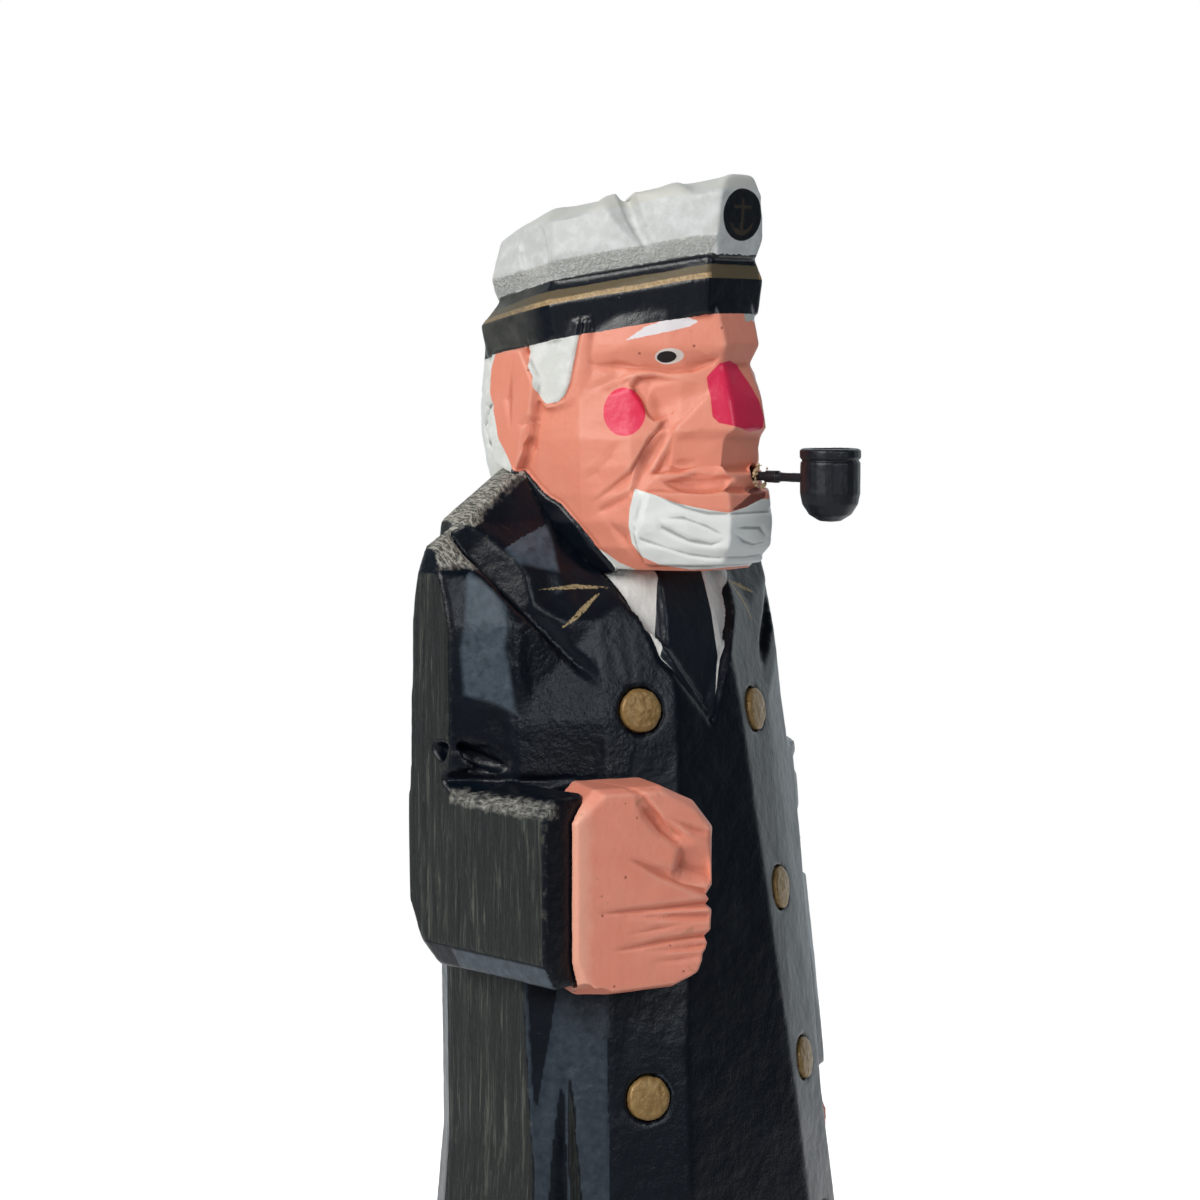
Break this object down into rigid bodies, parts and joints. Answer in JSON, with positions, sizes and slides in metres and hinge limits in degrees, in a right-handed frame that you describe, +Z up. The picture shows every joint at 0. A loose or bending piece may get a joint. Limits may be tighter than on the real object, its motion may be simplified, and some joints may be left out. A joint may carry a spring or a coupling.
{
  "type": "wooden sea captain figurine",
  "caption": "Standing carved and painted wooden sea captain in a long double-breasted coat and peaked cap, one fist at the chest, a push-in pipe in the mouth; stands on flat shoe soles.",
  "frame": {"origin": "middle of the whole figure's outline seen from above, on the ground under the soles", "axes": "+Z up from the soles to the cap, -Y the way the captain faces, +X towards the captain's left hand"},
  "size_m": [0.0878, 0.0742, 0.3048],
  "materials": {
    "coat_black": "blue-black satin paint brushed over carved softwood, with grain showing on the side boards",
    "head_paint": "satin salmon skin paint over carved softwood, with white cap, hair and beard, a black band and magenta nose and cheeks",
    "skin_paint": "satin salmon paint over carved softwood",
    "button_gold": "dull bronze-gold paint on turned wooden plugs",
    "pipe_black": "blue-black satin paint on turned wood",
    "bare_wood": "bare birch dowel",
    "shoe_brown": "dark brown satin paint over carved softwood"
  },
  "bodies": {
    "figure": {"body_block": "coat_black", "head_block": "head_paint", "right_arm": "coat_black", "left_arm": "coat_black", "right_hand": "skin_paint", "left_hand": "skin_paint", "button_left_1": "button_gold", "button_left_2": "button_gold", "button_left_3": "button_gold", "button_left_4": "button_gold", "button_right_1": "button_gold", "button_right_2": "button_gold", "button_right_3": "button_gold", "button_right_4": "button_gold", "neck_dowel": "bare_wood", "right_shoulder_dowel": "bare_wood", "left_shoulder_dowel": "bare_wood", "right_hand_dowel": "bare_wood", "left_wrist_dowel": "bare_wood", "right_shoe": "shoe_brown", "left_shoe": "shoe_brown", "right_ankle_dowel": "bare_wood", "left_ankle_dowel": "bare_wood"},
    "stem": {"pipe_stem": "pipe_black"},
    "bowl": {"pipe_bowl": "pipe_black"}
  },
  "joints": [
    {"name": "pipe_pull", "type": "slide", "parent": "figure", "child": "stem", "axis": [0, -1, 0], "range_m": [0, 0.006]},
    {"name": "pipe_turn", "type": "hinge", "parent": "stem", "child": "bowl", "pos_m": [0.0015, -0.02712, 0.2554], "axis": [0, -1, 0], "continuous": true}
  ]
}
